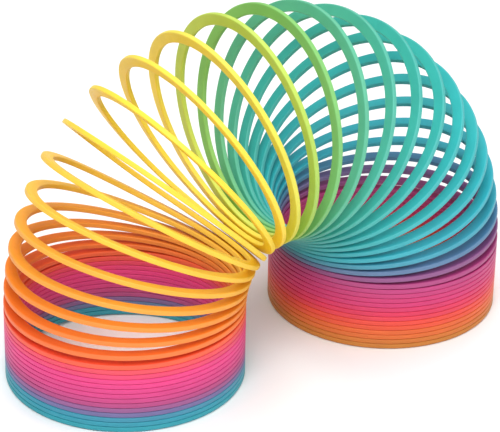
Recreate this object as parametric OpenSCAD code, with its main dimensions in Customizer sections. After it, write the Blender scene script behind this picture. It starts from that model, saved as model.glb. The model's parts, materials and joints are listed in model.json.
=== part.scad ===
// Spring coil toy: one plastic strand wound into a coil, standing as an arch
// between its two closed ends. Every turn of the coil is a sub-part.
//
// Frame: +Z up, the floor at Z = 0, the arch in the XZ plane, and the origin
// on the floor halfway between the two stacks. Millimetres.
//
// A place along the strand is counted in turns: a whole number is the point at
// the coil's inner side, where one turn passes into the next, a quarter on from
// it is the back, a half is the outer side and three quarters is the front.

/* [Coil] */
// Outer diameter of the coil
coil_d = 75; // [65:1:90]
// Width of the strand, measured across the coil
strand_w = 3.8; // [3:0.1:4.6]
// Thickness of the strand, measured along the coil
strand_t = 1.58; // [1.2:0.02:2]
// Depth of the bevel on the strand's two narrow edges
edge_bevel = 0.6; // [0.4:0.1:0.9]

/* [Turns] */
// Turns that stand closed in the left stack
left_turns = 14; // [11:1:17]
// Turns that stand open in the arch
arch_turns = 25; // [21:1:27]
// Turns that stand closed in the right stack
right_turns = 13; // [11:1:16]
// Gap between two turns, where they lie on each other or rock on each other
turn_gap = 0.07; // [0.05:0.01:0.15]
// Gap between the end of one turn and the start of the next
joint_gap = 0.06; // [0.04:0.02:0.2]

/* [Arch] */
// How much the opening gathers at the crown: 0 spreads it evenly over the arch
crown_share = 0.53; // [0.3:0.01:0.6]
// How much the opening gathers on the flanks, halfway up to the crown
flank_share = 0.13; // [0:0.01:0.2]
// How far each turn slips inward on the next on the flanks, so the crown sinks
crown_sag = 0.25; // [0:0.05:0.4]

/* [Climb] */
// Where the strand climbs to the next level, as a part of a turn
climb_at = 0.25; // [0.25:0.25:0.75]
// Length of that climb, as a part of a turn
climb_part = 0.25; // [0.125:0.125:0.375]

/* [Facets] */
// Straight pieces in one turn
turn_facets = 32; // [16:8:32]

/* [Hidden] */
pitch = strand_t + turn_gap;
centre_r = (coil_d - strand_w) / 2;
// Distance from the coil's centre to the edge on which two turns rock
rock_r = coil_d / 2 - edge_bevel;
turns = left_turns + arch_turns + right_turns;
flat_part = climb_part / 2;
lead_steps = 24;
lead_limit = 0.5;
lead = level_lead(-lead_limit, lead_limit, lead_steps);
moves = [for (j = [0 : turns]) level_move(j + climb_at, lead)];
rocks = [for (j = 0, p = [0, 0, 0] - moves[0]; j <= turns; p = p + moves[j], j = j + 1) p];
middle_x = rocks[turns].x / 2;
// Corners of the strand's section, as [across the coil, along the coil]
section = [
    [strand_w / 2, 0],
    [strand_w / 2 - edge_bevel, strand_t / 2],
    [edge_bevel - strand_w / 2, strand_t / 2],
    [-strand_w / 2, 0],
    [edge_bevel - strand_w / 2, -strand_t / 2],
    [strand_w / 2 - edge_bevel, -strand_t / 2]
];
// Hue along the coil, as [turn, degrees]: the rainbow runs from foot to crown and
// again from the right flank to the other foot
crown_turn = left_turns + arch_turns / 2;
right_first = left_turns + arch_turns;
hues = [
    [0, 180],
    [left_turns / 3, 300],
    [left_turns * 3 / 4, 335],
    [left_turns, 385],
    [crown_turn, 435],
    [crown_turn + arch_turns / 5, 535],
    [right_first, 545],
    [right_first + right_turns / 3, 670],
    [right_first + right_turns * 3 / 4, 695],
    [turns, 745]
];
pale = 0.15;

// Name of turn j, counted from the left stack's foot
function turn_name(j) =
    j < left_turns ? str("left_turn_", two_digits(j + 1))
    : j < left_turns + arch_turns ? str("arch_turn_", two_digits(j - left_turns + 1))
    : str("right_turn_", two_digits(j - left_turns - arch_turns + 1));

function two_digits(n) = n < 10 ? str("0", n) : str(n);

// Colour of turn j, from its hue: each channel is full within 60 degrees of its
// own hue and lowest from 120 degrees off
function turn_colour(j) =
    let (hue = lookup(j + 0.5, hues))
    [for (own = [0, 120, 240])
        let (off = abs((hue - own + 540) % 360 - 180))
        pale + (1 - pale) * min(max(2 - off / 60, 0), 1)];

// Part of the half circle that the coil has bent through, x being the part of
// the arch's turns passed and arch_lead how much earlier the left flank bends
function bend_part(x, arch_lead) =
    x
    - crown_share * sin(360 * x) / (2 * PI)
    - flank_share * sin(720 * x) / (4 * PI)
    + arch_lead * pow(sin(180 * x), 2) / 2;

// Tilt of the coil at u turns from the left foot: 0 upright, 180 upside down
function tilt(u, arch_lead) =
    180 * bend_part(min(max((u - left_turns) / arch_turns, 0), 1), arch_lead);

// Directions of the tilted coil: along its axis, and from the rocking edge
// towards the coil's centre
function along(angle) = [sin(angle), 0, cos(angle)];
function outward(angle) = [-cos(angle), 0, sin(angle)];

// Move of the rocking edge from one turn to the next
function level_move(u, arch_lead) =
    let (angle = tilt(u, arch_lead))
    pitch * along(angle) - crown_sag * sin(2 * angle) * outward(angle);

// Height of the right foot over the left one
function foot_rise(arch_lead, j = 1) =
    j == turns ? 0 : level_move(j + climb_at, arch_lead).z + foot_rise(arch_lead, j + 1);

// The lead at which both feet stand on the floor, found by halving
function level_lead(low, high, steps) =
    let (mid = (low + high) / 2)
    steps == 0 ? mid
    : foot_rise(mid) > 0 ? level_lead(mid, high, steps - 1)
    : level_lead(low, mid, steps - 1);

// Share of the climb that is done at part v of a turn, easing in and out
function climbed(v) =
    let (x = min(max((v - climb_at) / climb_part + 0.5, 0), 1))
    x * x * (3 - 2 * x);

// One corner of the strand's section, at part v of turn j
function strand_point(j, v, corner) =
    let (
        angle = tilt(j + v, lead),
        turned = 360 * (v - 0.5),
        radius = centre_r + corner.x
    )
    [-middle_x, 0, strand_t / 2]
    + rocks[j] + climbed(v) * moves[j]
    + (rock_r + radius * cos(turned)) * outward(angle)
    + [0, -radius * sin(turned), 0]
    + corner.y * along(angle);

// Where turn j starts and ends, as parts of a turn: the two end turns stop at
// the climb, so that each foot lies flat
function turn_start(j) = j == 0 ? climb_at + flat_part : 0;
function turn_end(j) = j == turns - 1 ? 1 + climb_at - flat_part : 1;

// The parts of turn j at which its sections stand
function stations(j) =
    let (
        first = round(turn_start(j) * turn_facets),
        last = round(turn_end(j) * turn_facets),
        trim = joint_gap / 2 / (2 * PI * centre_r)
    )
    [for (i = [first : last])
        i / turn_facets + (i == first ? trim : 0) - (i == last ? trim : 0)];

// One turn of the strand
module coil_turn(j) {
    places = stations(j);
    sides = len(section);
    last = len(places) - 1;
    points = [for (v = places) for (corner = section) strand_point(j, v, corner)];
    walls = [for (i = [0 : last - 1]) for (k = [0 : sides - 1])
        let (a = i * sides + k, b = i * sides + (k + 1) % sides)
        each [[a, b, b + sides], [a, b + sides, a + sides]]];
    start_cap = [[for (k = [sides - 1 : -1 : 0]) k]];
    end_cap = [[for (k = [0 : sides - 1]) last * sides + k]];
    color(turn_colour(j)) polyhedron(points, concat(walls, start_cap, end_cap), convexity = 4);
}

for (j = [0 : turns - 1]) {
    coil_turn(j);
}
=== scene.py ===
"""Spring coil toy: one rainbow plastic strand, standing as an arch on its two ends.

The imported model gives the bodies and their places. Every turn of the coil is a
smooth strand surface here, on the body of the turn that it stands for, and one
dyed plastic runs along all of them. Sizes are in metres.
"""

import json
import logging
import math
from dataclasses import dataclass, field
from enum import Enum

import bpy
import numpy as np
from mathutils import Matrix, Vector


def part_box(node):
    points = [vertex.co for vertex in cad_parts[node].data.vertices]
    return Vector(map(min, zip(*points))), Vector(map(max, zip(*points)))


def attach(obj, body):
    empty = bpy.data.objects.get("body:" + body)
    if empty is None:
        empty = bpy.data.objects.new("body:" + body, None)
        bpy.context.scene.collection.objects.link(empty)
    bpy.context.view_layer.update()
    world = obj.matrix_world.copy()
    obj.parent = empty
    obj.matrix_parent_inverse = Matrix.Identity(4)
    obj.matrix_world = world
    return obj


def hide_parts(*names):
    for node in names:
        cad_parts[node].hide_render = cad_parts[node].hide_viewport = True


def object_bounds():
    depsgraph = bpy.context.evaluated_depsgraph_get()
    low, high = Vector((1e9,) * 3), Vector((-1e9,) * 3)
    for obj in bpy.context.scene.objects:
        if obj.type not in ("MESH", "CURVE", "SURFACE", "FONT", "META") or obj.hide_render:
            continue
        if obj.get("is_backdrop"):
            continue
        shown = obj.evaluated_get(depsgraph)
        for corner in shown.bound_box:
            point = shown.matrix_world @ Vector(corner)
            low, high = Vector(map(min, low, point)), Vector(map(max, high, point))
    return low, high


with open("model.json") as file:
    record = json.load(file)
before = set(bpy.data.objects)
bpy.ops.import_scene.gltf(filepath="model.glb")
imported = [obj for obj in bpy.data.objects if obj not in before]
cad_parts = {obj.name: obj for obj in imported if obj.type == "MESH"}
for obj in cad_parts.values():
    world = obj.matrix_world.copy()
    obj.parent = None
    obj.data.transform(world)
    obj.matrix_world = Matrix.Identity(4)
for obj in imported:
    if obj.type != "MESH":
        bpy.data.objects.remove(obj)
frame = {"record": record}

cad_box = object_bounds()
log = logging.getLogger("spring_coil")

MM = 0.001

# A turn's flat layout: the wall's start and length each way, the first cap's
# centre and radius each way, and how far up the second cap lies.
WALL_U, WALL_V = (0.002, 0.976), (0.01, 0.98)
CAP_U, CAP_V = (0.99, 0.008), (0.25, 0.2)
CAP_RISE = 0.5


class Part(Enum):
    """The three stretches of the coil, by the start of their turns' names."""

    LEFT_STACK = "left_turn_"
    ARCH = "arch_turn_"
    RIGHT_STACK = "right_turn_"


# ---------------------------------------------------------------- the coil's law


@dataclass(frozen=True)
class Coil:
    """The coil's sizes, and the law that bends it into an arch.

    A place along the strand is counted in turns from the left foot. A whole
    number is the coil's inner side, a quarter on from it the back, a half the
    outer side and three quarters the front. The joint gap is narrower than the
    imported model's 0.06 mm, so that the strand looks unbroken.
    """

    outer_d: float = 75 * MM
    strand_w: float = 3.8 * MM
    strand_t: float = 1.58 * MM
    edge_bevel: float = 0.6 * MM
    left_turns: int = 14
    arch_turns: int = 25
    right_turns: int = 13
    turn_gap: float = 0.07 * MM
    joint_gap: float = 0.002 * MM
    crown_share: float = 0.53
    flank_share: float = 0.13
    crown_sag: float = 0.25 * MM
    climb_at: float = 0.25
    climb_part: float = 0.25
    lead_limit: float = 0.5
    lead_steps: int = 24

    @property
    def turns(self) -> int:
        """Turns in the whole coil."""
        return self.left_turns + self.arch_turns + self.right_turns

    @property
    def centre_r(self) -> float:
        """Radius of the strand's middle line."""
        return (self.outer_d - self.strand_w) / 2

    @property
    def rock_r(self) -> float:
        """Distance from the coil's centre to the edge on which two turns rock."""
        return self.outer_d / 2 - self.edge_bevel

    def part(self, turn: int) -> Part:
        """The stretch of the coil that a turn belongs to."""
        if turn < self.left_turns:
            return Part.LEFT_STACK
        if turn < self.left_turns + self.arch_turns:
            return Part.ARCH
        return Part.RIGHT_STACK

    def name(self, turn: int) -> str:
        """The turn's CAD node, numbered from 01 within its stretch."""
        first = {
            Part.LEFT_STACK: 0,
            Part.ARCH: self.left_turns,
            Part.RIGHT_STACK: self.left_turns + self.arch_turns,
        }
        part = self.part(turn)
        return f"{part.value}{turn - first[part] + 1:02d}"

    def tilt(self, place: np.ndarray, lead: float) -> np.ndarray:
        """How far the coil has turned over: 0 upright, pi upside down.

        With x the part of the arch's turns passed, the tilt is pi times x, less
        a wave of one period that gathers the opening at the crown, less a wave
        of two periods that gathers it on the flanks, plus a sine squared hump
        that starts the left flank a little early.

        Args:
            place: Places along the strand, in turns.
            lead: Height of the hump.

        Returns:
            The tilt at each place, in radians.
        """
        x = np.clip((place - self.left_turns) / self.arch_turns, 0, 1)
        share = (
            x
            - self.crown_share * np.sin(2 * np.pi * x) / (2 * np.pi)
            - self.flank_share * np.sin(4 * np.pi * x) / (4 * np.pi)
            + lead * np.sin(np.pi * x) ** 2 / 2
        )
        return np.pi * share

    def moves(self, lead: float) -> np.ndarray:
        """The rocking edge's move from each turn to the next, as a row of (x, z).

        One pitch along the coil's axis, less a slip across it that is greatest
        where the coil leans at 45 degrees.
        """
        place = np.arange(self.turns + 1) + self.climb_at
        angle = self.tilt(place, lead)
        pitch = self.strand_t + self.turn_gap
        slip = self.crown_sag * np.sin(2 * angle)
        return pitch * along(angle) - slip[:, None] * outward(angle)

    def level_lead(self) -> float:
        """The lead at which both feet stand on the floor, found by halving."""
        low, high = -self.lead_limit, self.lead_limit
        for _ in range(self.lead_steps):
            middle = (low + high) / 2
            rises = self.moves(middle)[1 : self.turns, 1].sum() > 0
            low, high = (middle, high) if rises else (low, middle)
        return (low + high) / 2


def along(angle: np.ndarray) -> np.ndarray:
    """(x, z) along the axis of the coil tilted by angle."""
    return np.stack([np.sin(angle), np.cos(angle)], -1)


def outward(angle: np.ndarray) -> np.ndarray:
    """(x, z) from the rocking edge towards the centre of the tilted coil."""
    return np.stack([-np.cos(angle), np.sin(angle)], -1)


@dataclass(frozen=True)
class StrandSection:
    """The strand's cross-section: a rectangle with rounded corners."""

    width: float
    thickness: float
    corner_r: float = 0.38 * MM
    corner_points: int = 6
    face_points: int = 3

    def outline(self) -> np.ndarray:
        """Points round the section, as rows of (across, through).

        Each corner is a quarter circle about its own centre, and each flat face
        has a few points between two corners so that its light runs smoothly.
        """
        a = self.width / 2 - self.corner_r
        b = self.thickness / 2 - self.corner_r
        quarter = np.linspace(0, np.pi / 2, self.corner_points)
        parts = []
        for k, (cx, cy) in enumerate([(a, b), (-a, b), (-a, -b), (a, -b)]):
            turn = quarter + k * np.pi / 2
            parts.append(
                np.stack(
                    [cx + self.corner_r * np.cos(turn), cy + self.corner_r * np.sin(turn)], -1
                )
            )
        ring = []
        for k, corner in enumerate(parts):
            ring.append(corner)
            if k % 2 == 0:
                step = np.linspace(0, 1, self.face_points + 2)[1:-1, None]
                nearest = parts[(k + 1) % 4][0]
                ring.append(corner[-1] * (1 - step) + nearest * step)
        return np.concatenate(ring)


# ------------------------------------------------------------------- mesh making


def grid_faces(rows: int, columns: int) -> np.ndarray:
    """Quads of a tube whose rows are rings: each joins two rows and two columns."""
    row = np.arange(rows - 1)[:, None]
    column = np.arange(columns)[None, :]
    after = (column + 1) % columns
    quads = [
        row * columns + column,
        row * columns + after,
        (row + 1) * columns + after,
        (row + 1) * columns + column,
    ]
    return np.stack(quads, -1).reshape(-1, 4)


def put_mesh(
    name: str, points: np.ndarray, quads: np.ndarray, caps: list[list[int]]
) -> bpy.types.Object:
    """Makes a smooth-shaded object of the points, quads and cap polygons.

    Args:
        name: The object's name.
        points: One row of (x, y, z) for each vertex.
        quads: One row of four vertices for each face.
        caps: The vertices of each end face.

    Returns:
        The object, linked to the scene.
    """
    mesh = bpy.data.meshes.new(name)
    mesh.from_pydata(points.tolist(), [], quads.tolist() + caps)
    mesh.polygons.foreach_set("use_smooth", [True] * len(quads) + [False] * len(caps))
    mesh.update()
    obj = bpy.data.objects.new(name, mesh)
    bpy.context.scene.collection.objects.link(obj)
    return obj


def put_attribute(obj: bpy.types.Object, name: str, values: np.ndarray) -> None:
    """Stores three numbers for each vertex, for the materials to read."""
    layer = obj.data.attributes.new(name, "FLOAT_VECTOR", "POINT")
    layer.data.foreach_set("vector", values.astype(np.float32).ravel())


# ------------------------------------------------------------------ the finishes


class Graph:
    """A small helper that adds and links shader nodes."""

    def __init__(self, tree: bpy.types.NodeTree) -> None:
        """Starts with an empty tree."""
        self.tree = tree
        tree.nodes.clear()

    def add(self, kind: str, **values: object) -> bpy.types.Node:
        """Adds a node, and sets or links its inputs.

        Args:
            kind: The node's type, without its "ShaderNode".
            values: An input's name, with spaces as underscores, and its value or
                the socket to link. A name that starts with "set_" is a property.

        Returns:
            The node.
        """
        prefix = "" if kind.startswith("Node") else "ShaderNode"
        node = self.tree.nodes.new(prefix + kind)
        for key, value in values.items():
            if key.startswith("set_"):
                setattr(node, key[4:], value)
        for key, value in values.items():
            if not key.startswith("set_"):
                self.feed(self.socket(node, key), value)
        return node

    @staticmethod
    def socket(node: bpy.types.Node, key: str) -> bpy.types.NodeSocket:
        """The node's input of that name, or of that number after "in"."""
        if key.startswith("in") and key[2:].isdigit():
            return node.inputs[int(key[2:])]
        return node.inputs[key.replace("_", " ")]

    def feed(self, socket: bpy.types.NodeSocket, value: object) -> None:
        """Links value to the socket if it is one, or sets it as the default."""
        if isinstance(value, bpy.types.NodeSocket):
            self.tree.links.new(value, socket)
        else:
            socket.default_value = value

    def math(self, operation: str, a: object, b: object = 0.0) -> bpy.types.NodeSocket:
        """A Math node's result."""
        return self.add("Math", set_operation=operation, in0=a, in1=b).outputs[0]

    def span(
        self,
        value: object,
        low: float,
        high: float,
        to_low: float = 0.0,
        to_high: float = 1.0,
    ) -> bpy.types.NodeSocket:
        """Value carried smoothly from low..high to to_low..to_high."""
        node = self.add(
            "MapRange",
            set_interpolation_type="SMOOTHSTEP",
            in0=value,
            in1=low,
            in2=high,
            in3=to_low,
            in4=to_high,
        )
        return node.outputs[0]

    def mix(self, factor: object, a: object, b: object, blend: str = "MIX") -> bpy.types.NodeSocket:
        """A colour mix's result."""
        node = self.add(
            "Mix", set_data_type="RGBA", set_blend_type=blend, in0=factor, in6=a, in7=b
        )
        return node.outputs[2]


class Group:
    """A shader node group with named inputs and outputs, built once."""

    def __init__(
        self, name: str, inputs: dict[str, tuple[str, object]], outputs: dict[str, str]
    ) -> None:
        """Makes the group's sockets.

        Args:
            name: The group's name.
            inputs: Each input's name, with its type and default.
            outputs: Each output's name, with its type.
        """
        self.tree = bpy.data.node_groups.new(name, "ShaderNodeTree")
        self.graph = Graph(self.tree)
        for key, (kind, value) in inputs.items():
            socket = self.tree.interface.new_socket(name=key, in_out="INPUT", socket_type=kind)
            socket.default_value = value
        for key, kind in outputs.items():
            self.tree.interface.new_socket(name=key, in_out="OUTPUT", socket_type=kind)
        self.given = self.graph.add("NodeGroupInput").outputs
        self.result = self.graph.add("NodeGroupOutput").inputs

    def place(self, graph: Graph, **values: object) -> bpy.types.NodeSocket:
        """Adds this group to a material's graph and returns its outputs."""
        node = graph.tree.nodes.new("ShaderNodeGroup")
        node.node_tree = self.tree
        for key, value in values.items():
            graph.feed(node.inputs[key.replace("_", " ")], value)
        return node.outputs


FLOAT, VECTOR = "NodeSocketFloat", "NodeSocketVector"


@dataclass(frozen=True)
class DieLines:
    """Fine lines along a strand, left by the die that it was drawn through."""

    across_scale: float = 1.6
    along_scale: float = 0.012

    def group(self) -> Group:
        """The node group: a stretched noise over the strand's own coordinates."""
        made = Group(
            "die_lines",
            {"Place": (VECTOR, (0, 0, 0)), "Amount": (FLOAT, 1.0)},
            {"Lines": FLOAT, "Haze": FLOAT},
        )
        g, given = made.graph, made.given
        stretched = g.add(
            "VectorMath",
            set_operation="MULTIPLY",
            in0=given["Place"],
            in1=(self.along_scale, self.across_scale, self.across_scale),
        ).outputs[0]
        lines = g.add("TexNoise", Vector=stretched, Scale=1.0, Detail=4.0, Roughness=0.6)
        g.feed(made.result["Lines"], g.math("MULTIPLY", lines.outputs[0], given["Amount"]))
        haze = g.add("TexNoise", Vector=given["Place"], Scale=0.09, Detail=3.0, Roughness=0.55)
        g.feed(made.result["Haze"], g.span(haze.outputs[0], 0.3, 0.7))
        return made


@dataclass(frozen=True)
class PaintedEdgeHighlight:
    """Painted highlight: the strand's colour is made paler towards both its edges, where light
    shows along them.
    """

    start: float = 0.7
    full: float = 0.99

    def group(self) -> Group:
        """The node group: a mask for the painted highlight, rising towards both edges of the
        strand.
        """
        made = Group(
            "painted_edge_highlight",
            {"Across": (FLOAT, 0.0), "Amount": (FLOAT, 1.0)},
            {"Mask": FLOAT},
        )
        g, given = made.graph, made.given
        edge = g.span(g.math("ABSOLUTE", given["Across"]), self.start, self.full)
        g.feed(made.result["Mask"], g.math("MULTIPLY", edge, given["Amount"]))
        return made


@dataclass(frozen=True)
class Dye:
    """One colour of the rainbow: the turn where it is pure, and its sRGB colour."""

    turn: float
    colour: tuple[int, int, int]

    def linear(self) -> tuple[float, float, float, float]:
        """The colour as linear light, by the sRGB curve."""
        c = np.array(self.colour) / 255
        lin = np.where(c <= 0.04045, c / 12.92, ((c + 0.055) / 1.055) ** 2.4)
        return (*(float(x) for x in lin), 1.0)


RAINBOW = (
    Dye(0.0, (14, 156, 168)),
    Dye(2.4, (20, 146, 170)),
    Dye(3.8, (108, 98, 152)),
    Dye(5.6, (178, 56, 124)),
    Dye(7.6, (212, 48, 128)),
    Dye(10.4, (230, 48, 130)),
    Dye(12.2, (232, 58, 98)),
    Dye(13.6, (244, 86, 54)),
    Dye(15.0, (244, 120, 40)),
    Dye(16.4, (244, 140, 38)),
    Dye(18.0, (244, 162, 46)),
    Dye(19.6, (246, 192, 48)),
    Dye(22.6, (250, 216, 46)),
    Dye(24.3, (248, 220, 66)),
    Dye(25.3, (192, 214, 76)),
    Dye(26.4, (126, 192, 92)),
    Dye(27.6, (86, 182, 146)),
    Dye(29.6, (62, 176, 164)),
    Dye(32.0, (52, 176, 178)),
    Dye(35.2, (44, 170, 186)),
    Dye(36.6, (76, 128, 166)),
    Dye(37.8, (140, 74, 130)),
    Dye(39.4, (188, 48, 120)),
    Dye(42.6, (206, 34, 108)),
    Dye(45.0, (220, 32, 82)),
    Dye(47.2, (232, 66, 42)),
    Dye(49.2, (224, 98, 22)),
    Dye(51.8, (196, 118, 20)),
)


@dataclass(frozen=True)
class RainbowPlastic:
    """Satin plastic strand, dyed in a rainbow that follows the coil, with a painted highlight along
    its edges.
    """

    coil: Coil
    dyes: tuple[Dye, ...] = RAINBOW
    dye_wander: float = 0.5
    shade_wander: float = 0.06
    # Painted highlight: the pale tint mixed into the colour near the strand's edges, and how much
    # of it.
    highlight_tint: tuple[float, float, float] = (0.95, 0.93, 0.88)
    highlight_share: float = 0.04
    rough_low: float = 0.36
    rough_high: float = 0.5
    specular_level: float = 0.2
    grain_scale: float = 2.2
    drift_scale: float = 0.012
    line_share: float = 0.6
    line_depth: float = 0.1
    grain_depth: float = 0.05
    bump_mm: float = 0.02

    def material(self) -> bpy.types.Material:
        """Builds the material once for every turn.

        The attribute "strand" holds the place along the coil in turns and the
        places across and through the strand, from -1 to 1.

        Returns:
            The material.
        """
        made = bpy.data.materials.new("rainbow_plastic")
        made.use_nodes = True
        g = Graph(made.node_tree)
        strand = g.add("Attribute", set_attribute_name="strand").outputs["Vector"]
        parts = g.add("SeparateXYZ", Vector=strand).outputs
        turn, across, through = parts[0], parts[1], parts[2]
        size = (
            2 * math.pi * self.coil.centre_r / MM,
            self.coil.strand_w / 2 / MM,
            self.coil.strand_t / 2 / MM,
        )
        place = g.add("VectorMath", set_operation="MULTIPLY", in0=strand, in1=size).outputs[0]

        lines = DieLines().group().place(g, Place=place)
        # Painted highlight: a mask near the strand's edges, through which a share of pale tint is
        # mixed into the dyed colour.
        edges = PaintedEdgeHighlight().group().place(g, Across=across)
        colour = self.dyed(g, turn, place, lines["Haze"])
        highlight_amount = g.math("MULTIPLY", edges["Mask"], self.highlight_share)
        pale = g.mix(highlight_amount, colour, (*self.highlight_tint, 1))

        grain = g.add(
            "TexNoise", Vector=place, Scale=self.grain_scale, Detail=3.0, Roughness=0.6
        ).outputs[0]
        uneven = g.math(
            "ADD",
            g.math("MULTIPLY", lines["Lines"], self.line_share),
            g.math("MULTIPLY", grain, 1.0 - self.line_share),
        )
        rough = g.span(uneven, 0.35, 0.65, self.rough_low, self.rough_high)
        height = g.math(
            "ADD",
            g.math("MULTIPLY", lines["Lines"], self.line_depth),
            g.math("MULTIPLY", grain, self.grain_depth),
        )
        bump = g.add("Bump", Strength=0.5, Distance=self.bump_mm * MM, Height=height).outputs[0]

        shader = g.add(
            "BsdfPrincipled",
            Base_Color=pale,
            Roughness=rough,
            Normal=bump,
            IOR=1.5,
            Specular_IOR_Level=self.specular_level,
        )
        out = g.add("OutputMaterial")
        g.feed(out.inputs["Surface"], shader.outputs[0])
        return made

    def dyed(self, g: Graph, turn: object, place: object, haze: object) -> bpy.types.NodeSocket:
        """The dye's colour: a ramp along the coil, whose bands wander a little.

        Args:
            g: The material's graph.
            turn: Place along the coil, in turns.
            place: Place on the strand, in millimetres.
            haze: A slow mottling from 0 to 1.

        Returns:
            The colour's socket.
        """
        drift = g.add("TexNoise", Vector=place, Scale=self.drift_scale, Detail=1.0).outputs[0]
        wander = g.math("MULTIPLY", g.math("SUBTRACT", drift, 0.5), self.dye_wander)
        part = g.math("DIVIDE", g.math("ADD", turn, wander), float(self.coil.turns))
        ramp = g.add("ValToRGB", Fac=part)
        ramp.color_ramp.interpolation = "EASE"
        stops = ramp.color_ramp.elements
        while len(stops) < len(self.dyes):
            stops.new(1.0)
        for stop, dye in zip(stops, self.dyes):
            stop.position = dye.turn / self.coil.turns
            stop.color = dye.linear()
        shade = g.span(haze, 0.0, 1.0, 1.0 - self.shade_wander, 1.0)
        grey = g.add("CombineXYZ", X=shade, Y=shade, Z=shade).outputs[0]
        return g.mix(1.0, ramp.outputs[0], grey, "MULTIPLY")


@dataclass(frozen=True)
class StudioPaper:
    """Plain pale paper under the object."""

    colour: tuple[float, float, float] = (0.95, 0.95, 0.95)
    roughness: float = 0.8

    def material(self) -> bpy.types.Material:
        """A matt surface with a very faint mottle."""
        made = bpy.data.materials.new("studio_paper")
        made.use_nodes = True
        g = Graph(made.node_tree)
        where = g.add("TexCoord").outputs["Object"]
        mottle = g.add("TexNoise", Vector=where, Scale=3.0, Detail=2.0).outputs[0]
        shade = g.span(mottle, 0.3, 0.7, 0.985, 1.0)
        grey = g.add("CombineXYZ", X=shade, Y=shade, Z=shade).outputs[0]
        colour = g.mix(1.0, (*self.colour, 1), grey, "MULTIPLY")
        shader = g.add("BsdfPrincipled", Base_Color=colour, Roughness=self.roughness)
        out = g.add("OutputMaterial")
        g.feed(out.inputs["Surface"], shader.outputs[0])
        return made


# --------------------------------------------------------------- the sub-assemblies


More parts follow.
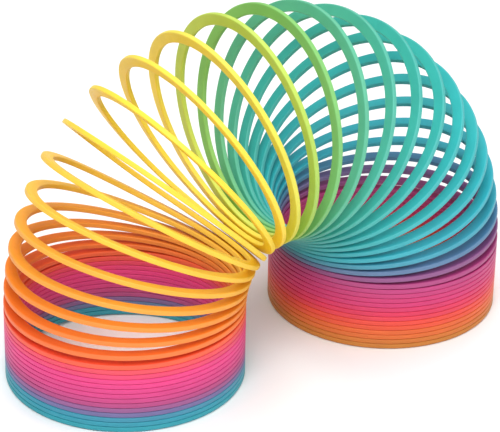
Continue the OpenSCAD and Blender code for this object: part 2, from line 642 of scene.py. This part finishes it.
@dataclass
class Strand:
    """Builds the surface of any one turn of the strand."""

    coil: Coil
    section: StrandSection
    facets: int = 160
    normal_step: float = 1e-3
    box_slack: float = 0.6 * MM
    rocks: np.ndarray = field(init=False)
    steps: np.ndarray = field(init=False)
    lead: float = field(init=False)

    def __post_init__(self) -> None:
        """Works out the lead and every turn's rocking edge."""
        self.lead = self.coil.level_lead()
        self.steps = self.coil.moves(self.lead)
        self.rocks = np.vstack([[0.0, 0.0], self.steps.cumsum(axis=0)[:-1]]) - self.steps[0]

    def climbed(self, v: np.ndarray) -> np.ndarray:
        """Share of the climb to the next level that is done, easing in and out."""
        x = np.clip((v - self.coil.climb_at) / self.coil.climb_part + 0.5, 0, 1)
        return x * x * (3 - 2 * x)

    def ends(self, turn: int) -> tuple[float, float]:
        """Where a turn starts and ends: the two feet stop beside the climb."""
        flat = self.coil.climb_part / 2
        trim = self.coil.joint_gap / 2 / (2 * math.pi * self.coil.centre_r)
        start = self.coil.climb_at + flat if turn == 0 else 0.0
        end = 1 + self.coil.climb_at - flat if turn == self.coil.turns - 1 else 1.0
        return start + trim, end - trim

    def surface(
        self, turn: int, v: np.ndarray, across: np.ndarray, through: np.ndarray
    ) -> np.ndarray:
        """Points of the strand.

        The rocking edge of the turn, plus the climbed share of the move to the
        next one, plus the way out to the coil's centre and round its circle,
        plus the place within the section.

        Args:
            turn: The turn.
            v: Parts of the turn, one for each row.
            across: Places across the strand, one for each column.
            through: Places through the strand, one for each column.

        Returns:
            Points as rows, columns and (x, y, z).
        """
        c = self.coil
        angle = c.tilt(turn + v, self.lead)
        turned = 2 * np.pi * (v - 0.5)
        edge = self.rocks[turn] + self.climbed(v)[:, None] * self.steps[turn]
        radius = c.centre_r + across[None, :]
        out = c.rock_r + radius * np.cos(turned)[:, None]
        flat = (
            edge[:, None, :]
            + out[:, :, None] * outward(angle)[:, None, :]
            + through[None, :, None] * along(angle)[:, None, :]
        )
        x = flat[..., 0] - self.rocks[c.turns][0] / 2
        z = flat[..., 1] + c.strand_t / 2
        y = -radius * np.sin(turned)[:, None]
        return np.stack([x, y, z], -1)

    def build(self, turn: int) -> bpy.types.Object:
        """Makes one turn's mesh, with the numbers that its material reads.

        Args:
            turn: The turn.

        Returns:
            The object.
        """
        start, end = self.ends(turn)
        rows = max(int(round((end - start) * self.facets)), 8) + 1
        v = np.linspace(start, end, rows)
        ring = self.section.outline()
        columns = len(ring)
        points = self.surface(turn, v, ring[:, 0], ring[:, 1])
        quads = grid_faces(rows, columns)
        first = list(range(columns))[::-1]
        last = [(rows - 1) * columns + k for k in range(columns)]
        name = f"{self.coil.name(turn)}_strand"
        obj = put_mesh(name, points.reshape(-1, 3), quads, [first, last])
        self.shade(obj, turn, v, ring, points)
        turns = np.repeat(turn + v, columns)
        across = np.tile(ring[:, 0] / (self.section.width / 2), rows)
        through = np.tile(ring[:, 1] / (self.section.thickness / 2), rows)
        put_attribute(obj, "strand", np.stack([turns, across, through], -1))
        self.unwrap(obj, rows, columns)
        return obj

    def shade(
        self,
        obj: bpy.types.Object,
        turn: int,
        v: np.ndarray,
        ring: np.ndarray,
        points: np.ndarray,
    ) -> None:
        """Gives the wall the strand's own normals, so that no joint shows.

        A normal is the cross product of the way round the section and the way
        along the strand. The two caps face along the strand.

        Args:
            obj: The turn's object.
            turn: The turn.
            v: Parts of the turn, one for each row.
            ring: The section's outline.
            points: The turn's points, as rows, columns and (x, y, z).
        """
        ahead = self.surface(turn, v + self.normal_step, ring[:, 0], ring[:, 1])
        behind = self.surface(turn, v - self.normal_step, ring[:, 0], ring[:, 1])
        run = ahead - behind
        run /= np.linalg.norm(run, axis=-1, keepdims=True)
        way = np.roll(points, -1, axis=1) - np.roll(points, 1, axis=1)
        wall = np.cross(way, run)
        wall /= np.linalg.norm(wall, axis=-1, keepdims=True)
        corner = np.zeros(len(obj.data.loops), dtype=np.int32)
        obj.data.loops.foreach_get("vertex_index", corner)
        facing = wall.reshape(-1, 3)[corner]
        columns = len(ring)
        facing[-2 * columns : -columns] = -run[0].mean(0)
        facing[-columns:] = run[-1].mean(0)
        obj.data.normals_split_custom_set(facing.tolist())

    @staticmethod
    def unwrap(obj: bpy.types.Object, rows: int, columns: int) -> None:
        """Lays the strand out flat in a UV map: rows across, columns up."""
        layer = obj.data.uv_layers.new(name="OFBake", do_init=False)
        row = np.repeat(np.arange(rows - 1), columns)
        column = np.tile(np.arange(columns), rows - 1)
        corner_row = np.stack([row, row, row + 1, row + 1], -1)
        corner_column = np.stack([column, column + 1, column + 1, column], -1)
        u = WALL_U[0] + WALL_U[1] * corner_row / (rows - 1)
        w = WALL_V[0] + WALL_V[1] * corner_column / columns
        wall = np.stack([u, w], -1).reshape(-1, 2)
        turned = 2 * np.pi * np.arange(columns) / columns
        across = CAP_U[0] + CAP_U[1] * np.cos(turned)
        disc = np.stack([across, CAP_V[0] + CAP_V[1] * np.sin(turned)], -1)
        every = np.vstack([wall, disc[::-1], disc + [0.0, CAP_RISE]])
        layer.uv.foreach_set("vector", every.astype(np.float32).ravel())

    def check_place(self, obj: bpy.types.Object, node: str) -> float:
        """Compares the piece's box with its CAD node's.

        Args:
            obj: The piece.
            node: The CAD node that it stands for.

        Returns:
            The greatest difference, in metres.

        Raises:
            ValueError: If the two boxes differ by more than box_slack.
        """
        corners = np.array([tuple(c) for c in obj.bound_box])
        low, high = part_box(node)
        off = max(
            np.abs(corners.min(0) - np.array(low)).max(),
            np.abs(corners.max(0) - np.array(high)).max(),
        )
        if off > self.box_slack:
            raise ValueError(f"{obj.name} is {off / MM:.2f} mm off its CAD turn {node}")
        return float(off)


@dataclass
class TurnRun:
    """A stretch of the coil: its turns, each on the body of its own CAD node."""

    strand: Strand
    plastic: bpy.types.Material
    part: Part

    def turns(self) -> list[int]:
        """The turns in this stretch, from the left foot's side."""
        coil = self.strand.coil
        return [t for t in range(coil.turns) if coil.part(t) is self.part]

    def body_of(self, node: str) -> str:
        """The CAD body that holds a node."""
        bodies = frame["record"]["behaviour"]["bodies"]
        return next(body for body, nodes in bodies.items() if node in nodes)

    def build(self) -> list[bpy.types.Object]:
        """Builds, dresses and mounts every turn of the stretch.

        Returns:
            The pieces.
        """
        pieces, worst = [], 0.0
        for turn in self.turns():
            node = self.strand.coil.name(turn)
            obj = self.strand.build(turn)
            obj.data.materials.append(self.plastic)
            worst = max(worst, self.strand.check_place(obj, node))
            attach(obj, self.body_of(node))
            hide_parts(node)
            pieces.append(obj)
            log.info("%s: %d faces", obj.name, len(obj.data.polygons))
        log.info("%s: %d pieces, %.3f mm off at most", self.part.name, len(pieces), worst / MM)
        return pieces


class LeftStack(TurnRun):
    """The closed turns on the left, from the foot up."""

    def __init__(self, strand: Strand, plastic: bpy.types.Material) -> None:
        """Takes the left stretch."""
        super().__init__(strand, plastic, Part.LEFT_STACK)


class Arch(TurnRun):
    """The open turns, over the crown."""

    def __init__(self, strand: Strand, plastic: bpy.types.Material) -> None:
        """Takes the middle stretch."""
        super().__init__(strand, plastic, Part.ARCH)


class RightStack(TurnRun):
    """The closed turns on the right, down to the foot."""

    def __init__(self, strand: Strand, plastic: bpy.types.Material) -> None:
        """Takes the right stretch."""
        super().__init__(strand, plastic, Part.RIGHT_STACK)


# -------------------------------------------------------------------- the studio


@dataclass(frozen=True)
class Lamp:
    """A soft round lamp that looks at the object."""

    name: str
    azimuth: float
    elevation: float
    distance: float
    size: float
    watts: float

    def place(self, centre: Vector) -> bpy.types.Object:
        """Hangs the lamp round the centre, by azimuth and elevation in degrees."""
        data = bpy.data.lights.new(self.name, "AREA")
        data.shape = "DISK"
        data.size = self.size
        data.energy = self.watts
        lamp = bpy.data.objects.new(self.name, data)
        bpy.context.scene.collection.objects.link(lamp)
        back = towards(self.azimuth, self.elevation)
        lamp.location = centre + back * self.distance
        lamp.rotation_mode = "QUATERNION"
        lamp.rotation_quaternion = (-back).to_track_quat("-Z", "Y")
        return lamp


def towards(azimuth: float, elevation: float) -> Vector:
    """Unit vector from the object to a viewer: azimuth 0 is the front."""
    a, e = math.radians(azimuth), math.radians(elevation)
    return Vector((math.sin(a) * math.cos(e), -math.cos(a) * math.cos(e), math.sin(e)))


@dataclass(frozen=True)
class Studio:
    """Pale floor, soft light and the camera."""

    floor_size: float = 6.0
    floor_drop: float = 0.0002
    floor_lines: int = 9
    sky: tuple[float, float, float] = (0.95, 0.96, 0.98)
    sky_strength: float = 0.4
    lamps: tuple[Lamp, ...] = (
        Lamp("key_light", -38, 48, 1.1, 0.7, 8.0),
        Lamp("fill_light", 40, 30, 1.3, 0.9, 3.0),
        Lamp("top_light", 0, 88, 1.2, 0.8, 4.5),
        Lamp("back_light", 155, 62, 1.7, 1.2, 9.0),
    )
    view_azimuth: float = -32.58
    view_elevation: float = 27.33
    view_roll: float = 1.08
    view_distance: float = 0.7595
    view_aside: float = -3.33 * MM
    view_height: float = 0.379
    lens: float = 173.69
    sensor: float = 36.0
    clip_near: float = 0.01
    clip_far: float = 50.0

    def build(self, box: tuple[Vector, Vector]) -> None:
        """Sets up the floor, the light and the camera round the object's box.

        Args:
            box: The object's lowest and highest corners.
        """
        low, high = box
        centre = (low + high) / 2
        self.floor(low)
        self.world()
        for lamp in self.lamps:
            lamp.place(centre)
        self.camera(low, high)
        scene = bpy.context.scene
        scene.view_settings.view_transform = "Standard"
        log.info("studio: %d lamps", len(self.lamps))

    def floor(self, low: Vector) -> bpy.types.Object:
        """A wide flat sheet just under the object's feet."""
        half = self.floor_size / 2
        z = low.z - self.floor_drop
        lines = self.floor_lines
        step = np.linspace(-half, half, lines)
        x, y = np.meshgrid(step, step, indexing="ij")
        points = np.stack([x, y, np.full_like(x, z)], -1).reshape(-1, 3)
        cell = np.arange(lines - 1)
        i = (cell[:, None] * lines + cell[None, :]).ravel()
        quads = np.stack([i, i + lines, i + lines + 1, i + 1], -1)
        sheet = put_mesh("studio_floor", points, quads, [])
        sheet.data.materials.append(StudioPaper().material())
        sheet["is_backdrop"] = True
        return sheet

    def world(self) -> None:
        """An even, pale surround."""
        world = bpy.data.worlds.new("studio")
        world.use_nodes = True
        g = Graph(world.node_tree)
        light = g.add("Background", Color=(*self.sky, 1), Strength=self.sky_strength)
        out = g.add("OutputWorld")
        g.feed(out.inputs["Surface"], light.outputs[0])
        bpy.context.scene.world = world

    def camera(self, low: Vector, high: Vector) -> bpy.types.Object:
        """The main camera, aimed a little left of the arch's middle.

        Args:
            low: The object's lowest corner.
            high: The object's highest corner.

        Returns:
            The camera.
        """
        centre = (low + high) / 2
        aim_z = low.z + (high.z - low.z) * self.view_height
        aim = Vector((centre.x + self.view_aside, centre.y, aim_z))
        back = towards(self.view_azimuth, self.view_elevation)
        right = Vector((0, 0, 1)).cross(back).normalized()
        up = back.cross(right)
        roll = math.radians(self.view_roll)
        turned_right = right * math.cos(roll) + up * math.sin(roll)
        turned_up = up * math.cos(roll) - right * math.sin(roll)
        data = bpy.data.cameras.new("camera")
        data.sensor_width = self.sensor
        data.lens = self.lens
        data.clip_start, data.clip_end = self.clip_near, self.clip_far
        camera = bpy.data.objects.new("camera", data)
        camera.rotation_mode = "QUATERNION"
        camera.location = aim + back * self.view_distance
        axes = Matrix((turned_right, turned_up, back)).transposed()
        camera.rotation_quaternion = axes.to_quaternion()
        bpy.context.scene.collection.objects.link(camera)
        bpy.context.scene.camera = camera
        return camera


def main() -> None:
    """Builds the coil and the studio."""
    logging.basicConfig(level=logging.INFO, format="%(name)s: %(message)s")
    coil = Coil()
    strand = Strand(coil, StrandSection(coil.strand_w, coil.strand_t))
    plastic = RainbowPlastic(coil).material()
    for stretch in (LeftStack(strand, plastic), Arch(strand, plastic), RightStack(strand, plastic)):
        stretch.build()
    Studio().build(cad_box)
    boxes = {"cad": cad_box, "visual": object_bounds()}
    for key, box in boxes.items():
        log.info("%s box: %s mm", key, [round(float(v) / MM, 2) for c in box for v in c])


if __name__ == "__main__":
    main()
